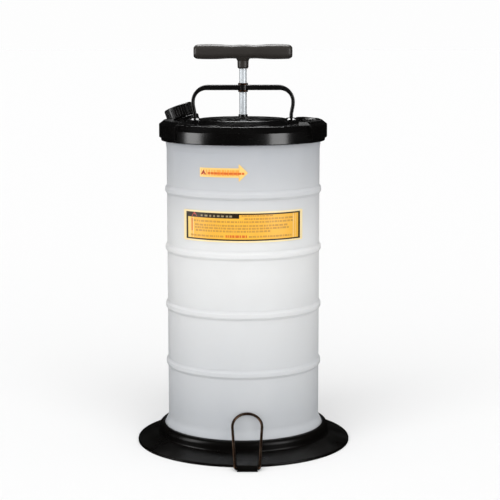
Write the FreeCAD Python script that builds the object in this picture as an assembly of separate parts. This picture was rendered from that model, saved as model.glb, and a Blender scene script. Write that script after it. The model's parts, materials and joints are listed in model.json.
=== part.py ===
import FreeCAD, Part
import math
import os

# Manual vacuum fluid transfer pump: a translucent tank on a wide stand, with a hand pump in its lid.
# Millimetres, +Z up. The origin is on the tank's axis at the underside of the stand; -Y is the front.

Vec = FreeCAD.Vector
UP = Vec(0, 0, 1)
CENTRE = Vec(0, 0, 0)

# --- driving dimensions -------------------------------------------------------------------------
TANK_R = 115.0            # outer radius of the tank's plain wall
TANK_WALL = 2.8
TANK_FOOT_R = 121.0       # the foot flares out to fill the stand's collar
TANK_FLOOR_Z = 3.5        # the tank stands on the stand's floor plate
NECK_R = 116.4
NECK_TOP_Z = 479.0
RIB_BULGE = 2.6
RIB_HALF = 6.6
RIB_Z = [124.5, 212.2, 299.9, 387.6]

STAND_R = 162.0           # outer edge of the stand's flange
COLLAR_R = 129.4
COLLAR_BORE_R = 121.4
COLLAR_TOP_Z = 28.8
COLLAR_ROUND = 7.4        # the collar's outer shoulder is this round
STAND_WALL = 2.6
STAND_RIBS = 24

LUG_HALF = 14.6           # half width of the stirrup's lug
LUG_FRONT_Y = -185.0
STIRRUP_X = 5.3           # lug and stirrup sit this far to the right of the middle
PIVOT_Y = -179.4
PIVOT_Z = 3.6
WIRE_R = 2.05
PIVOT_CLEARANCE = 0.06
STIRRUP_LENGTH = 89.2
STIRRUP_LEAN = 46.0       # degrees from +Y to the folded stirrup, which leans on the tank

LID_BOTTOM_Z = 460.4
EAR_BOTTOM_Z = 465.4
DECK_Z = 484.6            # top of the lid's flat deck
DECK_UNDER_Z = 481.0
CROWN_R = 66.0            # raised middle of the deck round the pump
CROWN_Z = 492.2
LID_SKIRT_R = 123.0
LID_BORE_R = 119.6
EAR_R = 126.0
EAR_INNER_R = 103.0
EAR_HALF_ANGLE = 38.0     # each grip ear spans this either side of the X axis
EAR_TOP_Z = 490.8
GLAND_SHANK_R = 11.95     # hole in the deck for the gland nut's threaded shank

ROD_R = 5.5
ROD_TOP_Z = 590.4
RUN = 0.05                # radial running clearance of the rod in its bushes
BUSH_R = 8.0
SEAL_Z = 490.6

CYL_R = 25.0
CYL_BORE_R = 22.5
CYL_BOTTOM_Z = 176.0
CYL_TOP_Z = 479.6
PISTON_Z = 210.0          # underside of the piston at rest
PISTON_HEIGHT = 20.0

HANDLE_TOP_Z = 542.4      # top of the carry handle's bar
HANDLE_BAR = 7.7
HANDLE_LEG = 5.0
HANDLE_HALF_SPAN = 76.8   # widest point of the bail
HANDLE_FOOT_X = 72.2
HANDLE_FOOT_Z = 488.1
HANDLE_DEPTH = 15.0
HUB_BORE_R = 6.7          # hole in the middle of the bail for the rod's upper bush
FOOT_DOME_R = 14.0
FOOT_DOME_Z = 494.0
SCREW_HOLE_R = 2.9
SCREW_R = 2.0

GRIP_HALF = 73.6
GRIP_MID_Z = 590.4
BOLT_SEAT_Z = 595.0       # floor of the recess that the grip's bolt sits in
HUB_BOTTOM_Z = 566.8

SPOUT_LEAN = 21.5         # degrees that the pour spout leans outwards
SPOUT_BACK = 19.5         # degrees that it sits behind the left-hand side
SPOUT_TOP_R = 105.6       # the cap's top centre, from the tank's axis
SPOUT_TOP_Z = 508.6
CAP_R = 22.0
CAP_HEIGHT = 18.4
SPOUT_BORE_R = 14.4
SPOUT_NECK_R = 17.0
SPOUT_FLANGE_R = 25.4
THREAD_PITCH = 3.6

SOCKET_X = 102.0          # suction hose socket on the right-hand ear
SOCKET_BORE_R = 5.0

PIPE_X = 36.0             # air pipe beside the pump cylinder
PIPE_R = 4.5
PIPE_BORE_R = 3.0
PIPE_BEND_R = 13.5
CAGE_R = 14.0
BALL_R = 10.0

SPIGOT_R = 4.6            # hose socket's spigot, inside the inlet tube
SEAT_Z = 474.0            # shoulder that the hose end stops on

THREAD_GAP = 0.03         # radial gap left between a screw thread and its hole
GLUE_GAP = 0.03           # radial gap at a pushed-on or bonded joint

LABEL_LIFT = 0.05
LABEL_THICK = 0.3
PANEL_HALF = 86.5
PANEL_LOW_Z = 320.4
PANEL_HIGH_Z = 365.2
ARROW_LEFT = -62.5
ARROW_SHOULDER = -6.5
ARROW_TIP = 7.0
ARROW_MID_Z = 421.0
ARROW_HALF_SHAFT = 6.7
ARROW_HALF_HEAD = 13.1


# --- helpers -------------------------------------------------------------------------------------
def path_edges(points, closed):
    """Edges through (a, b[, fillet]) points in the XZ plane, with each fillet as a tangent arc."""
    flat = [Vec(p[0], 0, p[1]) for p in points]
    radii = [p[2] if len(p) > 2 else 0.0 for p in points]
    count = len(points)
    ins, outs, mids = [], [], []
    for i in range(count):
        if radii[i] <= 0:
            ins.append(flat[i])
            outs.append(flat[i])
            mids.append(None)
            continue
        before = (flat[i - 1] - flat[i]).normalize()
        after = (flat[(i + 1) % count] - flat[i]).normalize()
        half = before.getAngle(after) / 2
        reach = radii[i] / math.tan(half)
        bisector = (before + after).normalize()
        ins.append(flat[i] + before * reach)
        outs.append(flat[i] + after * reach)
        mids.append(flat[i] + bisector * (radii[i] / math.sin(half) - radii[i]))
    edges = []
    for i in range(count):
        if mids[i] is not None:
            edges.append(Part.Arc(ins[i], mids[i], outs[i]).toShape())
        if i < count - 1 or closed:
            following = ins[(i + 1) % count]
            if outs[i].distanceToPoint(following) > 1e-4:
                edges.append(Part.LineSegment(outs[i], following).toShape())
    return edges


def face_of(points):
    return Part.Face(Part.Wire(path_edges(points, True)))


def turned(points, x=0.0, y=0.0, angle=360):
    """Solid of revolution about the vertical line through (x, y)."""
    solid = face_of(points).revolve(CENTRE, UP, angle)
    solid.translate(Vec(x, y, 0))
    return solid


def extruded_y(points, half):
    """Prism of an XZ outline, from y = -half to +half."""
    face = face_of(points)
    face.translate(Vec(0, -half, 0))
    return face.extrude(Vec(0, 2 * half, 0))


def extruded_x(points, half):
    """Prism of a YZ outline given as (y, z[, fillet]), from x = -half to +half."""
    solid = extruded_y(points, half)
    solid.rotate(CENTRE, UP, 90)
    return solid


def rod(radius, z0, z1, x=0.0, y=0.0):
    return Part.makeCylinder(radius, z1 - z0, Vec(x, y, z0))


def tube(outer, inner, z0, z1, x=0.0, y=0.0):
    return rod(outer, z0, z1, x, y).cut(rod(inner, z0 - 1, z1 + 1, x, y))


def hexagon(across_flats, z0, z1, x=0.0, y=0.0):
    corner = across_flats / math.sqrt(3)
    ring = [Vec(corner * math.cos(math.radians(60 * i)), corner * math.sin(math.radians(60 * i)), 0)
            for i in range(7)]
    solid = Part.Face(Part.makePolygon(ring)).extrude(Vec(0, 0, z1 - z0))
    solid.translate(Vec(x, y, z0))
    chamfer = turned([(0, 0), (corner - 1.0, 0), (corner + 0.2, 1.1), (corner + 0.2, z1 - z0 - 1.1),
                      (corner - 1.0, z1 - z0), (0, z1 - z0)])
    chamfer.translate(Vec(x, y, z0))
    return solid.common(chamfer)


def piped(edges, radius, start, direction):
    """Round bar along a tangent path."""
    profile = Part.Wire(Part.makeCircle(radius, start, direction))
    return Part.Wire(edges).makePipeShell([profile], True, False)


def around(shape, count, first=0.0):
    """Copies of a shape turned about the Z axis."""
    copies = []
    for i in range(count):
        one = shape.copy()
        one.rotate(CENTRE, UP, first + 360.0 * i / count)
        copies.append(one)
    return copies


def merged(shapes):
    return shapes[0].multiFuse(shapes[1:]).removeSplitter()


def merged_tools(shapes):
    """Union that is only used to cut with, so its faces stay as they are."""
    return shapes[0].multiFuse(shapes[1:])


def group(shapes):
    return Part.Compound(shapes)


def on_spout(shape):
    """Move a shape built about +Z, with the cap's top at z = 0, onto the leaning spout axis."""
    moved = shape.copy()
    moved.rotate(CENTRE, Vec(0, 1, 0), -SPOUT_LEAN)
    moved.rotate(CENTRE, UP, -SPOUT_BACK)
    side = math.radians(180 - SPOUT_BACK)
    moved.translate(Vec(SPOUT_TOP_R * math.cos(side), SPOUT_TOP_R * math.sin(side), SPOUT_TOP_Z))
    return moved


# --- stand and stirrup ---------------------------------------------------------------------------
def base_stand():
    inner_r = COLLAR_BORE_R + STAND_WALL
    outer_r = COLLAR_R - STAND_WALL
    lip_r = STAND_R - STAND_WALL
    hollow_top = 23.0
    dish = turned([(0, 0), (inner_r, 0), (inner_r, hollow_top, 0.8), (outer_r, hollow_top, 0.8),
                   (outer_r, 10.6, 0.8), (lip_r, 1.7), (lip_r, 0), (STAND_R, 0), (STAND_R, 3.6, 1.6),
                   (COLLAR_R, 13.2, 3.0), (COLLAR_R, COLLAR_TOP_Z, COLLAR_ROUND),
                   (COLLAR_BORE_R, COLLAR_TOP_Z, 0.4), (COLLAR_BORE_R, TANK_FLOOR_Z), (0, TANK_FLOOR_Z)])
    web = extruded_y([(inner_r - 0.6, 0.8), (lip_r + 0.6, 0.8), (lip_r + 0.6, 2.3), (outer_r + 0.6, 11.4),
                      (outer_r + 0.6, 18.0), (inner_r - 0.6, 18.0)], 1.1)
    lug = extruded_x([(-inner_r + 0.6, 1.0), (-STAND_R + 6, 0), (LUG_FRONT_Y, 0, 1.6),
                      (LUG_FRONT_Y, 9.4, 4.5),
                      (-166, 10.4, 12), (-inner_r + 0.6, 16)], LUG_HALF)
    hole_start = Vec(-LUG_HALF - 1, PIVOT_Y, PIVOT_Z)
    pivot_hole = Part.makeCylinder(WIRE_R + PIVOT_CLEARANCE, 2 * LUG_HALF + 2, hole_start, Vec(1, 0, 0))
    middle_web = Part.makeBox(8, 12, 12, Vec(-4, PIVOT_Y - 6, PIVOT_Z - 6))
    pivot_hole = pivot_hole.cut(middle_web)
    for piece in (lug, pivot_hole):
        piece.translate(Vec(STIRRUP_X, 0, 0))
    return merged([dish, lug] + around(web, STAND_RIBS, 7.5)).cut(pivot_hole)


def foot_stirrup():
    """Wire loop, drawn upright with its pivot on the X axis and then leaned back on the tank."""
    end, bend, corner, round_r = 5.2, 17.6, 22.8, 21.2
    points = [(-end, 0), (-bend, 0, 2.7), (-corner, STIRRUP_LENGTH, round_r),
              (corner, STIRRUP_LENGTH, round_r), (bend, 0, 2.7), (end, 0)]
    wire = piped(path_edges(points, False), WIRE_R, Vec(-end, 0, 0), Vec(1, 0, 0))
    wire.rotate(CENTRE, Vec(1, 0, 0), STIRRUP_LEAN - 90)
    wire.translate(Vec(STIRRUP_X, PIVOT_Y, PIVOT_Z))
    return wire


# --- tank and labels -----------------------------------------------------------------------------
def tank_outline(inset):
    """Outer (inset 0) or inner (inset = wall) profile of the tank, foot to neck."""
    floor = TANK_FLOOR_Z + inset
    points = [(0, floor), (TANK_FOOT_R - inset, floor, 6.0 - inset),
              (TANK_FOOT_R - inset, 26.0 + 0.3 * inset, 4.0 + inset), (TANK_R - inset, 40.0, 16 - inset)]
    for z in RIB_Z:
        points += [(TANK_R - inset, z - RIB_HALF, 3.0), (TANK_R + RIB_BULGE - inset, z - 2.8, 2.6),
                   (TANK_R + RIB_BULGE - inset, z + 2.8, 2.6), (TANK_R - inset, z + RIB_HALF, 3.0)]
    top = NECK_TOP_Z + inset
    points += [(TANK_R - inset, 448.0, 10.0), (NECK_R - inset, 459.0, 10.0), (NECK_R - inset, top),
               (0, top)]
    return points


def tank():
    shell = turned(tank_outline(0.0)).cut(turned(tank_outline(TANK_WALL)))
    thread = turned([(NECK_R - 1, 465.4), (NECK_R + 1.9, 467.0, 0.6), (NECK_R + 1.9, 468.2, 0.6),
                     (NECK_R - 1, 469.8)])
    second = thread.copy()
    second.translate(Vec(0, 0, 6.0))
    return merged([shell, thread, second])


def film(outline):
    """Thin label cut to an XZ outline and wrapped round the front of the tank."""
    inner = TANK_R + LABEL_LIFT
    wrap = tube(inner + LABEL_THICK, inner, 250, 450)
    face = face_of(outline)
    face.translate(Vec(0, -TANK_R - 5, 0))
    return wrap.common(face.extrude(Vec(0, TANK_R, 0)))


def panel_label():
    return film([(-PANEL_HALF, PANEL_LOW_Z, 2.0), (PANEL_HALF, PANEL_LOW_Z, 2.0),
                 (PANEL_HALF, PANEL_HIGH_Z, 2.0),
                 (-PANEL_HALF, PANEL_HIGH_Z, 2.0)])


def arrow_label():
    shaft_low, shaft_high = ARROW_MID_Z - ARROW_HALF_SHAFT, ARROW_MID_Z + ARROW_HALF_SHAFT
    return film([(ARROW_LEFT, shaft_low, 1.0), (ARROW_SHOULDER, shaft_low),
                 (ARROW_SHOULDER, ARROW_MID_Z - ARROW_HALF_HEAD, 0.5), (ARROW_TIP, ARROW_MID_Z, 0.8),
                 (ARROW_SHOULDER, ARROW_MID_Z + ARROW_HALF_HEAD, 0.5), (ARROW_SHOULDER, shaft_high),
                 (ARROW_LEFT, shaft_high, 1.0)])


# --- lid -----------------------------------------------------------------------------------------
def sector(points, half_angle, middle):
    """Turned solid that spans half_angle either side of the direction called middle."""
    solid = face_of(points).revolve(CENTRE, UP, 2 * half_angle)
    solid.rotate(CENTRE, UP, middle - half_angle)
    return solid


def lid_ear(middle):
    return sector([(EAR_INNER_R, DECK_Z - 2), (LID_SKIRT_R - 2.5, DECK_Z - 2),
                   (LID_SKIRT_R - 2.5, EAR_BOTTOM_Z), (EAR_R, EAR_BOTTOM_Z, 1.2), (EAR_R, 484.8, 1.6),
                   (118.4, EAR_TOP_Z, 2.2), (EAR_INNER_R, EAR_TOP_Z, 2.0)], EAR_HALF_ANGLE, middle)


def crown(gap):
    """Raised drum in the middle of the deck, grown by a gap where the domes are cut to fit it."""
    return turned([(0, DECK_Z - 1), (CROWN_R + 7.0 + gap, DECK_Z - 1),
                   (CROWN_R + 7.0 + gap, DECK_Z + 0.6, 1.5),
                   (CROWN_R + gap, CROWN_Z + gap, 4.0), (0, CROWN_Z + gap)])


def foot_slot(side):
    return Part.makeBox(7.0, 12.0, 12.0, Vec(side * HANDLE_FOOT_X - 3.5, -6.0, HANDLE_FOOT_Z - 0.1))


def handle_bosses():
    """Low domes on the deck that the feet of the carry handle stand in."""
    bosses = []
    for side in (-1, 1):
        x = side * HANDLE_FOOT_X
        dome = turned([(0, DECK_Z), (FOOT_DOME_R + 1.5, DECK_Z), (FOOT_DOME_R + 1.5, DECK_Z + 0.4),
                       (FOOT_DOME_R - 1.4, DECK_Z + 5.6, 6.0), (7.0, FOOT_DOME_Z - 0.6, 6.0),
                       (0, FOOT_DOME_Z)], x)
        cuts = [foot_slot(side), rod(SCREW_HOLE_R, DECK_Z - 1, 489, x), on_spout(spout_body(GLUE_GAP))]
        bosses.append(dome.cut(merged_tools(cuts + [crown(GLUE_GAP)])))
    return group(bosses)


def spout_body(gap):
    """Pedestal and flange of the pour spout, grown by a gap so that the lid can be cut to fit it."""
    wide = SPOUT_FLANGE_R + gap
    return turned([(0, -48), (wide - 2.8, -48), (wide, -22.6, 1.6), (wide, -20.6 + gap, 0.8),
                   (SPOUT_NECK_R, -20.2 + gap, 0.8), (0, -20.2 + gap)])


def spout_neck():
    """Threaded neck that is let into the lid; the thread is three plain rings."""
    plain = SPOUT_NECK_R
    points = [(0, -48), (plain, -48)]
    for ring in range(3):
        low = -16.0 + ring * THREAD_PITCH
        points += [(plain, low), (plain + 1.3, low + 0.7, 0.3), (plain + 1.3, low + 1.4, 0.3),
                   (plain, low + 2.1)]
    neck = on_spout(turned(points + [(plain, -3.8, 0.7), (0, -3.8)]))
    above_deck = Part.makeBox(300, 300, 60, Vec(-150, -150, DECK_Z))
    above_spigot_end = Part.makeBox(300, 300, 60, Vec(-150, -150, DECK_UNDER_Z - 3.0))
    solid = merged([on_spout(spout_body(0.0)).common(above_deck), neck.common(above_spigot_end)])
    return solid.cut(on_spout(rod(SPOUT_BORE_R, -60, 5)))


def lid():
    shell = turned([(0, DECK_UNDER_Z), (LID_BORE_R, DECK_UNDER_Z), (LID_BORE_R, LID_BOTTOM_Z),
                    (LID_SKIRT_R, LID_BOTTOM_Z, 1.4), (LID_SKIRT_R, 477.2, 1.4),
                     (117.6, 486.4, 1.0), (115.6, 486.4, 0.8), (115.0, DECK_Z, 0.5), (0, DECK_Z)])
    crown_hollow = turned([(31.0, DECK_UNDER_Z - 1), (64.6, DECK_UNDER_Z - 1), (64.6, DECK_UNDER_Z + 1),
                           (58.6, CROWN_Z - 3.4, 3.0), (31.0, CROWN_Z - 3.4, 2.0)])
    spigot = tube(29.2, CYL_R + RUN, 460.0, DECK_UNDER_Z + 1)
    webs = []
    for middle in (71, -71, 109, -109):
        web = extruded_y([(104.5, DECK_Z - 1), (116.4, DECK_Z - 1), (116.4, 486.9, 0.6),
                          (107.0, 486.9, 0.6)],
                         1.1)
        for turn in (-1.7, 1.7):
            one = web.copy()
            one.rotate(CENTRE, UP, middle + turn)
            webs.append(one)
    rings = [tube(r + 0.8, r - 0.8, CROWN_Z - 1, CROWN_Z + 0.5) for r in (24.0, 46.0)]
    rings.append(tube(98.8, 97.2, DECK_Z - 1, DECK_Z + 0.6))
    body = merged([shell, crown(0.0), spigot, lid_ear(0), lid_ear(180)] + webs + rings)
    above_deck = Part.makeBox(300, 300, 60, Vec(-150, -150, DECK_Z))
    cuts = [on_spout(rod(CAP_R + 0.9, -CAP_HEIGHT - 0.8, 30)),
            on_spout(spout_body(GLUE_GAP)).common(above_deck),
            on_spout(rod(SPOUT_NECK_R + GLUE_GAP, -48, -10)),
            rod(9.0, DECK_UNDER_Z - 2, EAR_TOP_Z + 2, SOCKET_X),
            rod(13.6, EAR_TOP_Z - 1.8, EAR_TOP_Z + 2, SOCKET_X),
            rod(GLAND_SHANK_R, DECK_UNDER_Z - 2, CROWN_Z + 2), crown_hollow]
    for side in (-1, 1):
        cuts += [rod(SCREW_HOLE_R, DECK_UNDER_Z - 2, 489, side * HANDLE_FOOT_X), foot_slot(side)]
    return body.cut(merged_tools(cuts))


def lid_gasket():
    return turned([(113.6, NECK_TOP_Z), (118.6, NECK_TOP_Z), (118.6, DECK_UNDER_Z), (113.6, DECK_UNDER_Z)])


def spout_cap():
    bore = SPOUT_NECK_R + 1.7
    cup = turned([(0, -0.8), (CAP_R - 7, -0.8), (CAP_R - 6, 0, 0.8), (CAP_R, 0, 2.4),
                  (CAP_R, -CAP_HEIGHT, 0.6),
                  (bore, -CAP_HEIGHT), (bore, -2.0), (0, -2.0)])
    flutes = around(rod(0.8, -CAP_HEIGHT + 1.6, -2.2, CAP_R + 0.35), 36)
    return on_spout(cup.cut(merged_tools(flutes)))


def spout_cap_liner():
    return on_spout(turned([(0, -2.1), (SPOUT_NECK_R + 1.2, -2.1), (SPOUT_NECK_R + 1.2, -3.7, 0.4),
                            (0, -3.7)]))


# --- carry handle --------------------------------------------------------------------------------
def bail_points(inset, bottom):
    """Half outline of the bail's outer (inset 0) or inner edge, from the right foot to the middle."""
    span = HANDLE_HALF_SPAN + 0.6 - inset * HANDLE_LEG
    foot = HANDLE_FOOT_X + HANDLE_LEG / 2 - inset * HANDLE_LEG
    top = HANDLE_TOP_Z - inset * HANDLE_BAR
    return [(foot, bottom), (foot, 499.0, 30.0), (span, 513.0, 30.0), (span, top, 25.0 - 7.5 * inset)]


def carry_handle():
    right = bail_points(0, HANDLE_FOOT_Z)
    inner = bail_points(1, HANDLE_FOOT_Z)
    left = [(-p[0],) + tuple(p[1:]) for p in reversed(right)]
    inner_left = [(-p[0],) + tuple(p[1:]) for p in inner]
    outline = right + left + inner_left + list(reversed(inner))
    bar = extruded_y(outline, HANDLE_DEPTH / 2)
    flat_edges = [edge for edge in bar.Edges if edge.BoundBox.YLength < 1e-6]
    rim = [edge for edge in flat_edges if edge.BoundBox.ZMax > HANDLE_FOOT_Z + 1]
    bar = bar.makeFillet(1.6, rim)
    under = HANDLE_TOP_Z - HANDLE_BAR
    hub = turned([(0, under), (8.4, under, 0.6), (8.4, HANDLE_TOP_Z, 0.6), (0, HANDLE_TOP_Z)])
    tongue = Part.makeBox(200, 11.6, 30, Vec(-100, -5.8, 480))
    above = Part.makeBox(200, 40, 80, Vec(-100, -20, FOOT_DOME_Z - 0.4))
    bar = merged([bar.common(tongue), bar.common(above)])
    body = merged([bar, hub]).cut(rod(HUB_BORE_R, 530, 550))
    for side in (-1, 1):
        body = body.cut(rod(SCREW_R + THREAD_GAP, 485, 503, side * HANDLE_FOOT_X))
    return body


def handle_bush():
    """Flanged bush pressed into the bar; its flanges lap over the bar's top and underside."""
    low, high = HANDLE_TOP_Z - HANDLE_BAR - 0.1, HANDLE_TOP_Z + 0.1
    waist = HUB_BORE_R - GLUE_GAP
    return turned([(ROD_R + RUN, low - 2.6), (7.4, low - 2.6, 0.5), (7.4, low), (waist, low), (waist, high),
                   (7.4, high), (7.4, high + 2.8, 0.5), (ROD_R + RUN, high + 2.8)])


def handle_screws():
    screws = []
    for side in (-1, 1):
        x = side * HANDLE_FOOT_X
        head = turned([(0, 475.6), (2.6, 475.6, 0.6), (4.8, 477.6, 0.8), (4.8, 479.8), (0, 479.8)], x)
        slot = merged_tools([Part.makeBox(5.4, 1.2, 1.8, Vec(x - 2.7, -0.6, 475.5)),
                             Part.makeBox(1.2, 5.4, 1.8, Vec(x - 0.6, -2.7, 475.5))])
        screws.append(merged([head, rod(SCREW_R, 479.0, 500.0, x)]).cut(slot))
    return group(screws)


def handle_washers():
    return group([tube(7.5, 2.6, 479.8, DECK_UNDER_Z, side * HANDLE_FOOT_X) for side in (-1, 1)])


# --- pump head, cylinder and rod -----------------------------------------------------------------
def gland_nut():
    """Fluted nut on the crown; its shank holds the rod's bush and seal."""
    cone = turned([(0, CROWN_Z), (14.5, CROWN_Z), (14.5, 493.6, 0.6), (9.6, 494.4, 0.6), (7.0, 495.2, 0.5),
                   (6.8, 498.6, 0.4), (0, 498.6)])
    grip = around(rod(1.6, CROWN_Z + 0.4, 496.2, 15.3), 12)
    shank = rod(GLAND_SHANK_R - RUN, DECK_UNDER_Z - 1.6, CROWN_Z + 1)
    bore = rod(BUSH_R + 0.02, DECK_UNDER_Z - 3, SEAL_Z + 2.5)
    lip = rod(ROD_R + 0.4, SEAL_Z, 502)
    return merged([cone.cut(merged_tools(grip)), shank]).cut(merged_tools([bore, lip]))


def rod_bush():
    return tube(BUSH_R, ROD_R + RUN, DECK_UNDER_Z - 1.6, SEAL_Z - 0.1)


def rod_seal():
    inner = ROD_R + 0.03
    return turned([(inner, SEAL_Z), (BUSH_R, SEAL_Z), (BUSH_R, SEAL_Z + 2.4), (ROD_R + 0.9, SEAL_Z + 2.4),
                   (inner, SEAL_Z + 1.5)])


def cylinder_gasket():
    return tube(CYL_R, 16.5, CYL_TOP_Z, DECK_UNDER_Z)


def pump_cylinder():
    barrel = tube(CYL_R, CYL_BORE_R, CYL_BOTTOM_Z, CYL_TOP_Z)
    lead_in = turned([(0, CYL_TOP_Z - 1.2), (CYL_BORE_R, CYL_TOP_Z - 1.2),
                      (CYL_BORE_R + 0.9, CYL_TOP_Z + 0.1),
                      (0, CYL_TOP_Z + 0.1)])
    return barrel.cut(lead_in)


def cylinder_foot():
    cap = turned([(0, 158.0), (26.5, 158.0, 3.0), (28.2, 164.0, 2.0), (28.2, 196.0, 1.2),
                  (CYL_R + 0.05, 196.0),
                  (CYL_R + 0.05, CYL_BOTTOM_Z), (0, CYL_BOTTOM_Z)])
    grips = around(rod(1.4, 166.0, 192.0, 28.9), 18, 10.0)
    boss = Part.makeBox(PIPE_X - 18.5, 17, 14.6, Vec(18.5, -8.5, 158.4))
    boss = merged([boss, rod(8.5, 158.4, 173.0, PIPE_X)])
    socket = rod(PIPE_R + GLUE_GAP, 162.5, 180, PIPE_X)
    channel = Part.makeCylinder(PIPE_BORE_R, PIPE_X, Vec(0, 0, 166.0), Vec(1, 0, 0))
    chamber = rod(6.5, 162.5, 170.0)
    guide = rod(1.58, 169.0, 178.0)
    ports = around(rod(1.3, 169.0, 178.0, 4.6), 6)
    cap = cap.cut(merged_tools(grips)).fuse(boss).removeSplitter()
    return cap.cut(merged_tools([socket, channel, chamber, guide] + ports))


def intake_valve():
    top = CYL_BOTTOM_Z + 1.9
    return turned([(0, 166.4), (2.3, 166.4, 0.4), (2.3, 167.5), (1.5, 167.5), (1.5, CYL_BOTTOM_Z),
                   (8.0, CYL_BOTTOM_Z), (8.0, CYL_BOTTOM_Z + 1.3, 0.5), (2.5, top), (0, top)])


def pipe_run(radius, overrun):
    """Air pipe: up beside the cylinder, over a hairpin and down into the float cage."""
    low, bend_z, end_z = 162.6 - overrun, 447.0, 440.4 - overrun
    base = Vec(PIPE_X, 0, low)
    up_end = Vec(PIPE_X, 0, bend_z)
    crown = Vec(PIPE_X, PIPE_BEND_R, bend_z + PIPE_BEND_R)
    down_start = Vec(PIPE_X, 2 * PIPE_BEND_R, bend_z)
    edges = [Part.LineSegment(base, up_end).toShape(), Part.Arc(up_end, crown, down_start).toShape(),
             Part.LineSegment(down_start, Vec(PIPE_X, 2 * PIPE_BEND_R, end_z)).toShape()]
    return piped(edges, radius, base, UP)


def air_pipe():
    return pipe_run(PIPE_R, 0.0).cut(pipe_run(PIPE_BORE_R, 1.0))


def pipe_clips():
    clips = []
    for z in (268.0, 398.0):
        band = rod(CYL_R + 2.4, z, z + 9)
        eye = rod(PIPE_R + 2.2, z, z + 9, PIPE_X)
        bridge = Part.makeBox(9, 7, 9, Vec(CYL_R + 0.8, -3.5, z))
        bores = merged_tools([rod(PIPE_R + GLUE_GAP, z - 1, z + 10, PIPE_X),
                              rod(CYL_R + GLUE_GAP, z - 1, z + 10)])
        clips.append(merged([band, eye, bridge]).cut(bores))
    return group(clips)


def float_cage():
    x, y = PIPE_X, 2 * PIPE_BEND_R
    body = turned([(0, 403.5), (CAGE_R - 1, 403.5, 1.0), (CAGE_R, 405.5, 1.0), (CAGE_R, 440.0, 1.5),
                   (7.6, 440.0, 1.0), (7.6, 446.0, 0.8), (0, 446.0)], x, y)
    inside = rod(CAGE_R - 2.6, 406.0, 436.0, x, y)
    seat = rod(3.2, 430, 442, x, y)
    socket = rod(PIPE_R + GLUE_GAP, 440.2, 450, x, y)
    body = body.cut(merged_tools([inside, seat, socket]))
    window = Part.makeBox(40, 9, 20, Vec(x - 20, y - 4.5, 411))
    cross = Part.makeBox(9, 40, 20, Vec(x - 4.5, y - 20, 411))
    drains = [rod(1.8, 402, 407, x + 6.5 * math.cos(math.radians(a)), y + 6.5 * math.sin(math.radians(a)))
              for a in range(45, 405, 90)]
    return body.cut(merged_tools([window, cross] + drains))


def float_ball():
    x, y = PIPE_X, 2 * PIPE_BEND_R
    ball = Part.makeSphere(BALL_R, Vec(x, y, 406.0 + BALL_R + 0.05))
    seam = turned([(BALL_R - 0.4, 415.75), (BALL_R + 0.25, 415.75, 0.1), (BALL_R + 0.25, 416.35, 0.1),
                   (BALL_R - 0.4, 416.35)], x, y)
    return merged([ball, seam])


def pump_rod():
    return turned([(0, 203.0), (3.4, 203.0), (4.0, 203.8), (4.0, 232.5), (ROD_R, 232.5),
                   (ROD_R, ROD_TOP_Z - 1),
                   (ROD_R - 1, ROD_TOP_Z), (2.5, ROD_TOP_Z), (2.5, ROD_TOP_Z - 20), (0, ROD_TOP_Z - 20)])


def piston():
    top = PISTON_Z + PISTON_HEIGHT
    body = turned([(4.06, PISTON_Z), (20.6, PISTON_Z, 0.8), (22.1, PISTON_Z + 2.0), (22.1, PISTON_Z + 6.6),
                   (18.0, PISTON_Z + 6.6), (18.0, PISTON_Z + 13.4), (22.1, PISTON_Z + 13.4),
                   (22.1, top - 2),
                   (20.6, top, 0.8), (4.06, top)])
    ports = around(rod(2.2, PISTON_Z - 1, top + 1, 12.2), 6)
    return body.cut(merged_tools(ports))


def piston_seal():
    low = PISTON_Z + 6.8
    return turned([(18.1, low), (21.2, low), (CYL_BORE_R - 0.05, low + 1.6, 0.5),
                   (CYL_BORE_R - 0.05, low + 4.8, 0.5),
                   (21.2, low + 6.4), (18.1, low + 6.4)])


def piston_flap():
    top = PISTON_Z + PISTON_HEIGHT
    return turned([(4.1, top), (17.0, top), (17.0, top + 1.0, 0.3), (4.1, top + 1.2)])


def piston_washers():
    top = PISTON_Z + PISTON_HEIGHT
    bore = 4.0 + THREAD_GAP
    return group([tube(8.5, bore, top + 1.3, top + 2.5), tube(8.5, bore, PISTON_Z - 1.3, PISTON_Z - 0.1)])


def rod_nut():
    return hexagon(11.0, 203.6, PISTON_Z - 1.3).cut(rod(4.0 + THREAD_GAP, 200, 215))


def t_handle():
    """Grip bar with waisted sides and rounded ends over a tapered hub."""
    right = [(0, 0.99), (15, 0.92), (34, 1.0), (GRIP_HALF - 9, 1.0), (GRIP_HALF - 4.6, 0.95),
             (GRIP_HALF - 1.6, 0.80), (GRIP_HALF, 0.54)]
    left = [(-x, size) for x, size in reversed(right[1:])]
    corners = [(-12.0, -9.6, 8.6), (12.0, -9.6, 8.6), (12.0, 9.4, 7.6), (4.6, 11.9, 2.0), (-4.6, 11.9, 2.0),
               (-12.0, 9.4, 7.6)]
    sections = []
    for x, size in left + right:
        wire = Part.Wire(path_edges([[size * value for value in corner] for corner in corners], True))
        wire.rotate(CENTRE, UP, 90)
        wire.translate(Vec(x, 0, GRIP_MID_Z))
        sections.append(wire)
    bar = Part.makeLoft(sections, True, False)
    hub = turned([(0, HUB_BOTTOM_Z), (7.4, HUB_BOTTOM_Z, 0.5), (8.2, HUB_BOTTOM_Z + 2.2, 0.8),
                  (8.4, 578.0, 4.0),
                  (11.8, 584.5), (0, 584.5)])
    body = merged([bar, hub])
    return body.cut(merged_tools([rod(ROD_R + 0.02, 560, ROD_TOP_Z + 0.1), rod(3.1, ROD_TOP_Z - 2, 610),
                                  rod(6.2, BOLT_SEAT_Z, 610)]))


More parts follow.
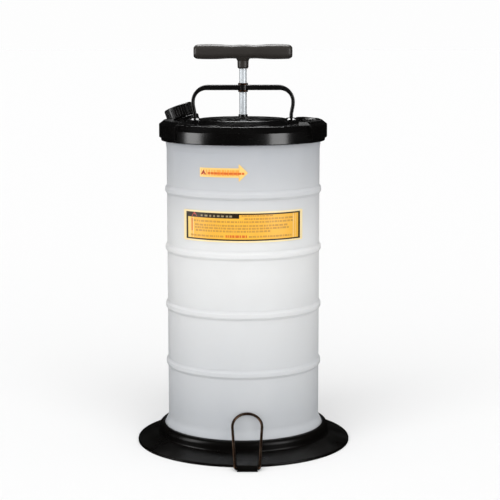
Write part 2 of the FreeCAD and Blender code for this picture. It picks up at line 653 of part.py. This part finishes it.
def t_handle_bolt():
    head = rod(5.8, BOLT_SEAT_Z, BOLT_SEAT_Z + 6.2).cut(hexagon(5.0, BOLT_SEAT_Z + 3.0, 606))
    shank = rod(2.5 - THREAD_GAP, ROD_TOP_Z - 16, BOLT_SEAT_Z + 0.4)
    return merged([head, shank])


# --- suction hose socket -------------------------------------------------------------------------
def hose_socket():
    """Bush with a bore for the hose end, a shoulder to stop it and a spigot for the inlet tube."""
    flange_z = EAR_TOP_Z - 1.0
    top = EAR_TOP_Z + 1.6
    bore = 3.4
    return turned([(bore, SEAT_Z - 12), (SPIGOT_R, SEAT_Z - 12, 0.6), (SPIGOT_R, SEAT_Z), (8.9, SEAT_Z),
                   (8.9, flange_z), (13.2, flange_z), (13.2, top - 0.6, 0.5), (11.0, top + 0.4, 0.5),
                   (7.4, top + 0.4, 0.6), (6.4, top - 1.2), (SOCKET_BORE_R, top - 2.2),
                   (SOCKET_BORE_R, SEAT_Z + 1),
                   (bore, SEAT_Z + 1)], SOCKET_X)


def socket_seal():
    return tube(13.0, 9.0, EAR_TOP_Z - 1.8, EAR_TOP_Z - 1.0, SOCKET_X)


def inlet_tube():
    return tube(6.4, SPIGOT_R + GLUE_GAP, 400.0, SEAT_Z, SOCKET_X)


NODES = {
    "base_stand": base_stand, "foot_stirrup": foot_stirrup, "tank": tank, "panel_label": panel_label,
    "arrow_label": arrow_label, "lid": lid, "lid_gasket": lid_gasket, "spout_neck": spout_neck,
    "spout_cap": spout_cap, "spout_cap_liner": spout_cap_liner, "carry_handle": carry_handle,
    "handle_bosses": handle_bosses, "handle_bush": handle_bush,
    "handle_screws": handle_screws, "handle_washers": handle_washers, "gland_nut": gland_nut,
    "rod_bush": rod_bush, "rod_seal": rod_seal, "cylinder_gasket": cylinder_gasket,
    "pump_cylinder": pump_cylinder, "cylinder_foot": cylinder_foot, "intake_valve": intake_valve,
    "air_pipe": air_pipe, "pipe_clips": pipe_clips, "float_cage": float_cage, "float_ball": float_ball,
    "pump_rod": pump_rod, "piston": piston, "piston_seal": piston_seal, "piston_flap": piston_flap,
    "piston_washers": piston_washers, "rod_nut": rod_nut, "t_handle": t_handle,
    "t_handle_bolt": t_handle_bolt, "hose_socket": hose_socket, "socket_seal": socket_seal,
    "inlet_tube": inlet_tube,
}


def main():
    os.makedirs("parts", exist_ok=True)
    for name, make in NODES.items():
        shape = make()
        print(f"{name:16s} solids {len(shape.Solids)} valid {shape.isValid()} {shape.Volume / 1000:9.2f} cm3")
        shape.exportStep(f"parts/{name}.step")


main()
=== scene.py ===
import json
import math
import random

import bmesh
import bpy
from mathutils import Matrix, Vector


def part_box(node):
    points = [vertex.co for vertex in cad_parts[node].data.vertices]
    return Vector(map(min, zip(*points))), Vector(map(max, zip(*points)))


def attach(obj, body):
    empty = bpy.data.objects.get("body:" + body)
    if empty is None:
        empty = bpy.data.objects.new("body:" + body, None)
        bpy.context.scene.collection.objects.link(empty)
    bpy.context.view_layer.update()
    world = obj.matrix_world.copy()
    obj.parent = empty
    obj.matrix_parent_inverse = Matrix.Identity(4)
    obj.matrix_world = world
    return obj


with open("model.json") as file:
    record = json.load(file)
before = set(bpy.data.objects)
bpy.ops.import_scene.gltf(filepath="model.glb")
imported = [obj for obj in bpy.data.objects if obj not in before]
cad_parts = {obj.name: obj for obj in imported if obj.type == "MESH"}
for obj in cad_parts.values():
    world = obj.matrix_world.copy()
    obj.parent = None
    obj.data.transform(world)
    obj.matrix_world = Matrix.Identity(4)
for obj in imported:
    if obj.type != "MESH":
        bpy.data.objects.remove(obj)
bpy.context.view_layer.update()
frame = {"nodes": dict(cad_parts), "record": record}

MM = 0.001
TAU = 2 * math.pi

# --- sizes read from the frame -------------------------------------------------------------------
panel_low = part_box("panel_label")[0]
arrow_low, arrow_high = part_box("arrow_label")
FILM_R = -panel_low.y                        # outer face of the label film at the front
ARROW_MID = (arrow_low.z + arrow_high.z) / 2

# --- camera --------------------------------------------------------------------------------------
CAMERA_PLACE = (0.0, -2.232, 0.622)
CAMERA_LENS = 106.9
CAMERA_PITCH = 8.39
CAMERA_YAW = -0.262
CAMERA_ROLL = -0.05

# --- light ---------------------------------------------------------------------------------------
SKY_FILL = 0.64
SKY_IN_GLOSS = 0.006
FLOOR_WHITE = 0.885
BACKDROP = 0.985                             # what the camera sees past the floor, as pale as the floor
FLOOR_IN_GLOSS = 0.006
SUN = 2.4
SUN_PLACE = (-0.12, -1.5, 1.4)
SUN_SPREAD = 80                              # degrees across, for soft shadows
SOFT_BOXES = (                               # name, place, target, size, radiance
    ("box_left", (-1.9, -0.62, 0.72), (0, 0, 0.45), (0.9, 1.45), 4.4),
    ("box_right", (1.5, -1.3, 0.72), (0, 0, 0.45), (0.9, 1.45), 4.0),
    ("box_top", (0.0, 0.62, 1.85), (0, 0, 0.49), (1.0, 0.7), 12),
)


def make_camera():
    data = bpy.data.cameras.new("camera")
    data.lens = CAMERA_LENS
    data.sensor_width = 36.0
    data.clip_end = 50.0
    camera = bpy.data.objects.new("camera", data)
    bpy.context.scene.collection.objects.link(camera)
    turn = (Matrix.Rotation(math.radians(CAMERA_YAW), 4, "Z")
            @ Matrix.Rotation(math.radians(90 - CAMERA_PITCH), 4, "X")
            @ Matrix.Rotation(math.radians(CAMERA_ROLL), 4, "Z"))
    camera.matrix_world = Matrix.Translation(CAMERA_PLACE) @ turn
    bpy.context.scene.camera = camera


def aimed(light_object, place, target):
    aim = (Vector(target) - Vector(place)).to_track_quat("-Z", "Y")
    light_object.matrix_world = Matrix.Translation(place) @ aim.to_matrix().to_4x4()
    bpy.context.scene.collection.objects.link(light_object)


def soft_box(name, place, target, size, radiance):
    """Softbox that shows in reflections only; the sun and the sky light the plain surfaces."""
    data = bpy.data.lights.new(name, "AREA")
    data.shape = "RECTANGLE"
    data.size, data.size_y = size
    data.energy = radiance * math.pi * size[0] * size[1]
    light = bpy.data.objects.new(name, data)
    aimed(light, place, target)
    light.visible_diffuse = False
    light.visible_transmission = False


def soft_sun(place, strength, spread):
    data = bpy.data.lights.new("key", "SUN")
    data.energy = strength
    data.angle = math.radians(spread)
    light = bpy.data.objects.new("key", data)
    aimed(light, place, (0, 0, 0.2))
    light.visible_glossy = False


def mix_by_ray(tree, ray, low, high):
    """Shader low, or shader high for rays of one kind."""
    path = tree.nodes.new("ShaderNodeLightPath")
    node = tree.nodes.new("ShaderNodeMixShader")
    tree.links.new(path.outputs[ray], node.inputs[0])
    tree.links.new(low, node.inputs[1])
    tree.links.new(high, node.inputs[2])
    return node.outputs[0]


def make_world():
    """White to the eye, a soft grey for fill light and nearly dark in reflections."""
    world = bpy.data.worlds.new("studio")
    bpy.context.scene.world = world
    world.use_nodes = True
    tree = world.node_tree
    tree.nodes.clear()
    out = tree.nodes.new("ShaderNodeOutputWorld")

    def background(level):
        node = tree.nodes.new("ShaderNodeBackground")
        node.inputs["Color"].default_value = (level, level, level, 1)
        return node.outputs[0]

    soft = mix_by_ray(tree, "Is Glossy Ray", background(SKY_FILL), background(SKY_IN_GLOSS))
    tree.links.new(mix_by_ray(tree, "Is Camera Ray", soft, background(BACKDROP)), out.inputs[0])


def make_floor():
    """Plain white floor that stays dark in the reflections of the glossy black parts."""
    mesh = bpy.data.meshes.new("floor")
    reach = 60.0
    mesh.from_pydata([(-reach, -reach, 0), (reach, -reach, 0), (reach, reach, 0), (-reach, reach, 0)], [],
                     [(0, 1, 2, 3)])
    floor = bpy.data.objects.new("floor", mesh)
    bpy.context.scene.collection.objects.link(floor)
    material = bpy.data.materials.new("floor_paint")
    material.use_nodes = True
    tree = material.node_tree
    tree.nodes.clear()
    out = tree.nodes.new("ShaderNodeOutputMaterial")

    def diffuse(level):
        node = tree.nodes.new("ShaderNodeBsdfDiffuse")
        node.inputs["Color"].default_value = (level, level, level, 1)
        return node.outputs[0]

    paint = mix_by_ray(tree, "Is Glossy Ray", diffuse(FLOOR_WHITE), diffuse(FLOOR_IN_GLOSS))
    tree.links.new(paint, out.inputs[0])
    mesh.materials.append(material)


def make_stage():
    make_world()
    make_floor()
    soft_sun(SUN_PLACE, SUN, SUN_SPREAD)
    for box in SOFT_BOXES:
        soft_box(*box)
    scene = bpy.context.scene
    scene.view_settings.view_transform = "Standard"
    scene.view_settings.look = "None"


# --- material nodes ------------------------------------------------------------------------------
class Paint:
    """A Principled material with short names for the procedural nodes that it is made of."""

    def __init__(self, name, colour, roughness, metallic=0.0):
        self.material = bpy.data.materials.new(name)
        self.material.use_nodes = True
        self.tree = self.material.node_tree
        self.shader = self.tree.nodes["Principled BSDF"]
        self.shader.inputs["Base Color"].default_value = (*colour, 1)
        self.shader.inputs["Roughness"].default_value = roughness
        self.shader.inputs["Metallic"].default_value = metallic
        self.coords = self.tree.nodes.new("ShaderNodeTexCoord").outputs["Object"]

    def node(self, kind, **values):
        made = self.tree.nodes.new("ShaderNode" + kind)
        for key, value in values.items():
            self.feed(made.inputs[key.replace("_", " ")], value)
        return made

    def feed(self, socket, value):
        if isinstance(value, bpy.types.NodeSocket):
            self.tree.links.new(value, socket)
        elif isinstance(value, tuple) and len(value) == 3 and socket.type == "RGBA":
            socket.default_value = (*value, 1)
        else:
            socket.default_value = value

    def stretch(self, scale):
        made = self.node("Mapping", Vector=self.coords, Scale=scale)
        return made.outputs[0]

    def noise(self, scale, detail=4.0, rough=0.55, vector=None, distortion=0.0):
        made = self.node("TexNoise", Vector=vector or self.coords, Scale=scale, Detail=detail,
                         Roughness=rough, Distortion=distortion)
        return made.outputs["Fac"]

    def cells(self, scale, vector=None):
        return self.node("TexVoronoi", Vector=vector or self.coords, Scale=scale).outputs["Distance"]

    def math(self, operation, a, b=0.0, clamp=False):
        made = self.tree.nodes.new("ShaderNodeMath")
        made.operation = operation
        made.use_clamp = clamp
        self.feed(made.inputs[0], a)
        self.feed(made.inputs[1], b)
        return made.outputs[0]

    def span(self, value, low, high, to_low=0.0, to_high=1.0, smooth=True):
        made = self.tree.nodes.new("ShaderNodeMapRange")
        made.interpolation_type = "SMOOTHSTEP" if smooth else "LINEAR"
        for key, number in (("From Min", low), ("From Max", high), ("To Min", to_low), ("To Max", to_high)):
            made.inputs[key].default_value = number
        self.feed(made.inputs["Value"], value)
        return made.outputs["Result"]

    def blend(self, factor, low, high, mode="MIX"):
        made = self.tree.nodes.new("ShaderNodeMix")
        made.data_type = "RGBA"
        made.blend_type = mode
        self.feed(made.inputs["Factor"], factor)
        self.feed(made.inputs[6], low)
        self.feed(made.inputs[7], high)
        return made.outputs[2]

    def axis(self, letter):
        made = self.node("SeparateXYZ", Vector=self.coords)
        return made.outputs[letter]

    def facing_up(self):
        normal = self.tree.nodes.new("ShaderNodeNewGeometry").outputs["Normal"]
        return self.node("SeparateXYZ", Vector=normal).outputs["Z"]

    def edges(self, radius):
        """1 on sharp convex and concave edges, 0 on plain surfaces."""
        bevel = self.tree.nodes.new("ShaderNodeBevel")
        bevel.samples = 4
        bevel.inputs["Radius"].default_value = radius
        plain = self.tree.nodes.new("ShaderNodeNewGeometry").outputs["Normal"]
        dot = self.tree.nodes.new("ShaderNodeVectorMath")
        dot.operation = "DOT_PRODUCT"
        self.tree.links.new(bevel.outputs[0], dot.inputs[0])
        self.tree.links.new(plain, dot.inputs[1])
        return self.span(dot.outputs["Value"], 0.99, 0.86)

    def colour(self, value):
        self.feed(self.shader.inputs["Base Color"], value)

    def roughness(self, value):
        self.feed(self.shader.inputs["Roughness"], value)

    def bump(self, height, distance, strength=1.0):
        made = self.tree.nodes.new("ShaderNodeBump")
        made.inputs["Strength"].default_value = strength
        made.inputs["Distance"].default_value = distance
        self.feed(made.inputs["Height"], height)
        socket = self.shader.inputs["Normal"]
        if socket.is_linked:
            self.tree.links.new(socket.links[0].from_socket, made.inputs["Normal"])
        self.tree.links.new(made.outputs[0], socket)


# --- materials -----------------------------------------------------------------------------------
def black_plastic(name, colour, rough_low, rough_high, grain, grain_depth, gloss=0.7):
    """Injection moulded black plastic: orange peel, fine scuffs, paler edges and a trace of dust."""
    paint = Paint(name, colour, rough_low)
    paint.shader.inputs["Specular IOR Level"].default_value = gloss
    broad = paint.noise(22.0, 3.0)
    fine = paint.noise(grain, 5.0, 0.6)
    scuffs = paint.noise(60.0, 6.0, 0.7, paint.stretch((1.0, 1.0, 9.0)), 1.2)
    scuff_mask = paint.span(scuffs, 0.62, 0.74)
    edge = paint.math("MULTIPLY", paint.edges(0.9 * MM), paint.span(paint.noise(85.0, 4.0), 0.42, 0.62))
    dust = paint.math("MULTIPLY", paint.span(paint.facing_up(), 0.8, 1.0), paint.span(broad, 0.4, 0.75))
    base = paint.blend(paint.math("MULTIPLY", edge, 0.3), colour, (0.05, 0.047, 0.045))
    base = paint.blend(paint.math("MULTIPLY", dust, 0.004), base, (0.34, 0.31, 0.28))
    paint.colour(base)
    rough = paint.span(broad, 0.3, 0.7, rough_low, rough_high)
    rough = paint.math("ADD", rough, paint.math("MULTIPLY", scuff_mask, 0.12))
    rough = paint.math("ADD", rough, paint.math("MULTIPLY", dust, 0.08))
    paint.roughness(rough)
    paint.bump(fine, grain_depth, 0.5)
    paint.bump(scuff_mask, 0.02 * MM, 0.25)
    return paint


def tank_poly():
    """Milky blow-moulded polyethylene, a little uneven in thickness, with soft scuffs outside; its colour
    carries painted shade, darker towards the bottom and again towards the lid.
    """
    paint = Paint("tank_poly", (0.6, 0.605, 0.62), 0.36)
    height = paint.axis("Z")
    uneven = paint.noise(7.0, 3.0, 0.5, paint.stretch((1.0, 1.0, 0.35)))
    cloud = paint.noise(28.0, 4.0, 0.5)
    # painted shade: the colour darkens from z 0.27 m down to the stand and from z 0.30 m up to the lid
    bottom_painted_shade = paint.span(height, 0.06, 0.27, 0.0, 1.0, False)
    base = paint.blend(bottom_painted_shade, (0.43, 0.445, 0.465), (0.70, 0.70, 0.695))
    base = paint.blend(paint.span(height, 0.30, 0.46), base, (0.42, 0.435, 0.46))
    base = paint.blend(paint.span(uneven, 0.35, 0.7, 0.0, 0.10), base, (0.74, 0.74, 0.73))
    base = paint.blend(paint.span(cloud, 0.4, 0.8, 0.0, 0.08), base, (0.58, 0.58, 0.57))
    paint.colour(base)
    paint.roughness(paint.span(paint.noise(40.0, 5.0, 0.6), 0.3, 0.7, 0.42, 0.56))
    shader = paint.shader
    shader.inputs["Subsurface Weight"].default_value = 0.55
    shader.inputs["Subsurface Radius"].default_value = (1.0, 0.95, 0.9)
    shader.inputs["Subsurface Scale"].default_value = 12 * MM
    shader.inputs["Specular IOR Level"].default_value = 0.12
    paint.bump(uneven, 0.5 * MM, 0.3)
    paint.bump(paint.noise(420.0, 3.0, 0.6), 0.04 * MM, 0.35)
    return paint


def label_film(name, colour, shade):
    paint = Paint(name, colour, 0.4)
    paint.colour(paint.blend(paint.span(paint.noise(55.0, 5.0), 0.35, 0.75, 0.0, 0.5), colour, shade))
    paint.roughness(paint.span(paint.noise(90.0, 4.0), 0.3, 0.7, 0.34, 0.5))
    paint.bump(paint.noise(160.0, 3.0), 0.02 * MM, 0.3)
    return paint


def steel(name, colour, worn, rough_low, rough_high, brush, depth=0.01, metallic=1.0):
    """Bare or plated steel with fine drawn lines along Z or round the axis, set by brush scale."""
    paint = Paint(name, colour, rough_low, metallic)
    lines = paint.noise(120.0, 5.0, 0.6, paint.stretch(brush))
    patches = paint.noise(70.0, 4.0, 0.6)
    paint.colour(paint.blend(paint.span(patches, 0.42, 0.66), colour, worn))
    paint.roughness(paint.span(lines, 0.3, 0.7, rough_low, rough_high))
    paint.bump(lines, depth * MM, 0.3)
    return paint


def soft_plastic(name, colour, shade, rough, grain):
    paint = Paint(name, colour, rough)
    paint.colour(paint.blend(paint.span(paint.noise(35.0, 4.0), 0.35, 0.7), colour, shade))
    paint.roughness(paint.span(paint.noise(70.0, 4.0), 0.3, 0.7, rough - 0.06, rough + 0.08))
    paint.bump(paint.noise(grain, 4.0, 0.6), 0.03 * MM, 0.5)
    return paint


def grip_plastic():
    """Dark satin grip with a fine leathery grain."""
    paint = black_plastic("grip_moulding", (0.027, 0.023, 0.020), 0.36, 0.48, 700.0, 0.05 * MM, 0.5)
    grain = paint.cells(900.0)
    paint.bump(paint.span(grain, 0.1, 0.6), 0.03 * MM, 0.4)
    return paint


def make_materials():
    return {
        "black_moulding": black_plastic("black_moulding", (0.0022, 0.002, 0.0019),
                                        0.18, 0.26, 380.0, 0.03 * MM),
        "stand_moulding": black_plastic("stand_moulding", (0.0022, 0.0018, 0.0015),
                                        0.26, 0.36, 420.0, 0.03 * MM, 0.25),
        "cap_moulding": black_plastic("cap_moulding", (0.0026, 0.0024, 0.0023), 0.2, 0.3, 420.0, 0.03 * MM),
        "handle_moulding": black_plastic("handle_moulding", (0.003, 0.0025, 0.0023),
                                         0.24, 0.34, 500.0, 0.04 * MM),
        "grip_moulding": grip_plastic(),
        "tank_poly": tank_poly(),
        "panel_film": label_film("panel_film", (0.84, 0.69, 0.38), (0.80, 0.64, 0.33)),
        "arrow_film": label_film("arrow_film", (0.84, 0.55, 0.17), (0.80, 0.50, 0.14)),
        "stirrup_wire": steel("stirrup_wire", (0.12, 0.07, 0.045),
                              (0.20, 0.14, 0.10), 0.28, 0.42, (1, 1, 1), 0.004),
        "rod_chrome": steel("rod_chrome", (0.66, 0.70, 0.73),
                            (0.63, 0.67, 0.70), 0.36, 0.44, (1, 1, 14), 0.001, 0.35),
        "cylinder_alloy": steel("cylinder_alloy", (0.66, 0.67, 0.68),
                                (0.6, 0.61, 0.62), 0.3, 0.42, (1, 1, 0.1)),
        "zinc_steel": steel("zinc_steel", (0.62, 0.62, 0.58), (0.5, 0.5, 0.49), 0.25, 0.42, (1, 1, 1)),
        "bush_bronze": steel("bush_bronze", (0.040, 0.021, 0.012),
                             (0.028, 0.015, 0.01), 0.34, 0.48, (1, 1, 5)),
        "seal_rubber": soft_plastic("seal_rubber", (0.02, 0.02, 0.02), (0.03, 0.03, 0.028), 0.6, 300.0),
        "liner_foam": soft_plastic("liner_foam", (0.7, 0.7, 0.67), (0.6, 0.6, 0.57), 0.7, 500.0),
        "grey_nylon": soft_plastic("grey_nylon", (0.42, 0.43, 0.43), (0.36, 0.37, 0.37), 0.42, 400.0),
        "float_poly": soft_plastic("float_poly", (0.75, 0.2, 0.05), (0.65, 0.16, 0.04), 0.4, 400.0),
    }


def dress_nodes(paints):
    slots = {entry["node"]: entry["material_slot"] for entry in frame["record"]["subparts"]}
    for name, thing in frame["nodes"].items():
        thing.data.materials.clear()
        thing.data.materials.append(paints[slots[name]].material)


# --- printed labels ------------------------------------------------------------------------------
def wrapped(name, patches, lift, thick, paint):
    """One closed thin sheet per (x, z) outline, wrapped round the tank's front."""
    mesh = bpy.data.meshes.new(name)
    shape = bmesh.new()
    for outline in patches:
        rings = []
        for radius in (FILM_R + lift, FILM_R + lift + thick):
            ring = []
            for x, z in outline:
                angle = math.asin(x / FILM_R)
                ring.append(shape.verts.new((radius * math.sin(angle), -radius * math.cos(angle), z)))
            rings.append(ring)
        inner, outer = rings
        count = len(outline)
        shape.faces.new(outer)
        shape.faces.new(list(reversed(inner)))
        for i in range(count):
            j = (i + 1) % count
            shape.faces.new((inner[i], inner[j], outer[j], outer[i]))
    bmesh.ops.triangulate(shape, faces=[f for f in shape.faces if len(f.verts) > 4], ngon_method="EAR_CLIP")
    bmesh.ops.recalc_face_normals(shape, faces=shape.faces)
    shape.to_mesh(mesh)
    shape.free()
    piece = bpy.data.objects.new(name, mesh)
    bpy.context.scene.collection.objects.link(piece)
    mesh.materials.append(paint.material)
    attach(piece, "vessel")


def bars_between(x0, x1, z0, z1):
    """A rectangle as a row of short closed cells, so that wide bars wrap smoothly."""
    count = max(1, round((x1 - x0) / (4.0 * MM)))
    xs = [x0 + (x1 - x0) * i / count for i in range(count + 1)]
    return [[(a, z0), (b, z0), (b, z1), (a, z1)] for a, b in zip(xs, xs[1:])]


def text_row(chance, z, x, stop, height, word=(1.6 * MM, 6.0 * MM), gap=1.0 * MM):
    """A row of plain dashes that stands for small print."""
    patches = []
    while x < stop:
        width = min(chance.uniform(*word), stop - x)
        if width > 0.6 * MM:
            patches += bars_between(x, x + width, z - height / 2, z + height / 2)
        x += width + gap * chance.uniform(0.7, 1.3)
    return patches


def make_panel_print(paints):
    """Black frame and header block on golden yellow, with plain dashes in rows for the small print."""
    chance = random.Random(7)
    side, low, high = 82.8 * MM, 322.8 * MM, 362.6 * MM
    post, rail = 2.7 * MM, 2.1 * MM
    header_x, header_z = -5.8 * MM, 355.2 * MM
    wrapped("panel_yellow", bars_between(-side, side, low, high), 0.01 * MM, 0.03 * MM,
            paints["panel_yellow"])
    black = bars_between(-side, side, low, low + rail) + bars_between(-side, side, high - rail, high)
    black += bars_between(-side, -side + post, low + rail, high - rail)
    black += bars_between(side - post, side, low + rail, high - rail)
    black += bars_between(-side + post, header_x, header_z, high - rail)
    wrapped("panel_black", black, 0.05 * MM, 0.03 * MM, paints["print_black"])
    wrapped("panel_pale_edge", bars_between(-side + post, -76.5 * MM, low + rail, header_z), 0.05 * MM,
            0.02 * MM, paints["panel_pale"])
    rows = [(359.4, -2.5, 43), (354.6, 1.5, 72), (350.2, -72, 72), (344.6, -70, 64), (340.6, -70, 66),
            (336.4, -69, 40), (328.9, -76, -27), (328.9, 8, 70)]
    small = []
    for z, start, end in rows:
        small += text_row(chance, z * MM, start * MM, end * MM, 2.8 * MM)
    wrapped("panel_small_print", small, 0.08 * MM, 0.03 * MM, paints["print_ochre"])
    red = text_row(chance, 329.2 * MM, -25.5 * MM, 6.5 * MM, 3.6 * MM)
    red += bars_between(-75.2 * MM, -73.6 * MM, 335 * MM, 353 * MM)
    wrapped("panel_red_print", red, 0.08 * MM, 0.03 * MM, paints["print_red"])
    title = text_row(chance, 358.2 * MM, -61.5 * MM, -14.0 * MM, 2.6 * MM, (2.4 * MM, 5.2 * MM), 2.4 * MM)
    wrapped("panel_title_blocks", title, 0.09 * MM, 0.02 * MM, paints["print_pale"])
    wrapped("panel_sign", [triangle(-70.8 * MM, 356.2 * MM, 8.4 * MM, 6.6 * MM)], 0.09 * MM, 0.03 * MM,
            paints["print_brick"])


def triangle(x, z, width, height):
    return [(x - width / 2, z), (x + width / 2, z), (x, z + height)]


def make_arrow_print(paints):
    """Orange body inside the yellow film, a row of darker dashes and a small dark red triangle."""
    chance = random.Random(3)
    wrapped("arrow_body", bars_between(-60.5 * MM, -6.0 * MM, ARROW_MID - 4.4 * MM, ARROW_MID + 4.2 * MM)
            + [[(-6.0 * MM, ARROW_MID - 9.0 * MM), (3.6 * MM, ARROW_MID), (-6.0 * MM, ARROW_MID + 9.0 * MM)]],
            0.01 * MM, 0.02 * MM, paints["print_orange"])
    dashes = text_row(chance, ARROW_MID - 1.0 * MM, -51.0 * MM, 1.6 * MM, 3.2 * MM,
                      (2.6 * MM, 7.0 * MM), 0.6 * MM)
    wrapped("arrow_dashes", dashes, 0.05 * MM, 0.03 * MM, paints["print_red"])
    wrapped("arrow_sign", [triangle(-57.2 * MM, ARROW_MID - 3.2 * MM, 7.6 * MM, 7.0 * MM)], 0.05 * MM,
            0.03 * MM, paints["print_dark_red"])


def make_prints(paints):
    paints["panel_yellow"] = label_film("panel_yellow", (0.80, 0.42, 0.034), (0.76, 0.37, 0.030))
    paints["panel_pale"] = label_film("panel_pale", (0.84, 0.58, 0.16), (0.80, 0.52, 0.12))
    paints["print_black"] = label_film("print_black", (0.022, 0.012, 0.003), (0.035, 0.02, 0.006))
    paints["print_ochre"] = label_film("print_ochre", (0.52, 0.26, 0.03), (0.58, 0.30, 0.035))
    paints["print_red"] = label_film("print_red", (0.60, 0.12, 0.010), (0.66, 0.16, 0.014))
    paints["print_brick"] = label_film("print_brick", (0.48, 0.05, 0.035), (0.52, 0.07, 0.04))
    paints["print_dark_red"] = label_film("print_dark_red", (0.32, 0.014, 0.003), (0.38, 0.03, 0.006))
    paints["print_orange"] = label_film("print_orange", (0.88, 0.34, 0.045), (0.84, 0.28, 0.035))
    paints["print_pale"] = label_film("print_pale", (0.30, 0.24, 0.13), (0.24, 0.19, 0.10))
    make_panel_print(paints)
    make_arrow_print(paints)


# --- build ---------------------------------------------------------------------------------------
make_camera()
make_stage()
paints = make_materials()
dress_nodes(paints)
make_prints(paints)
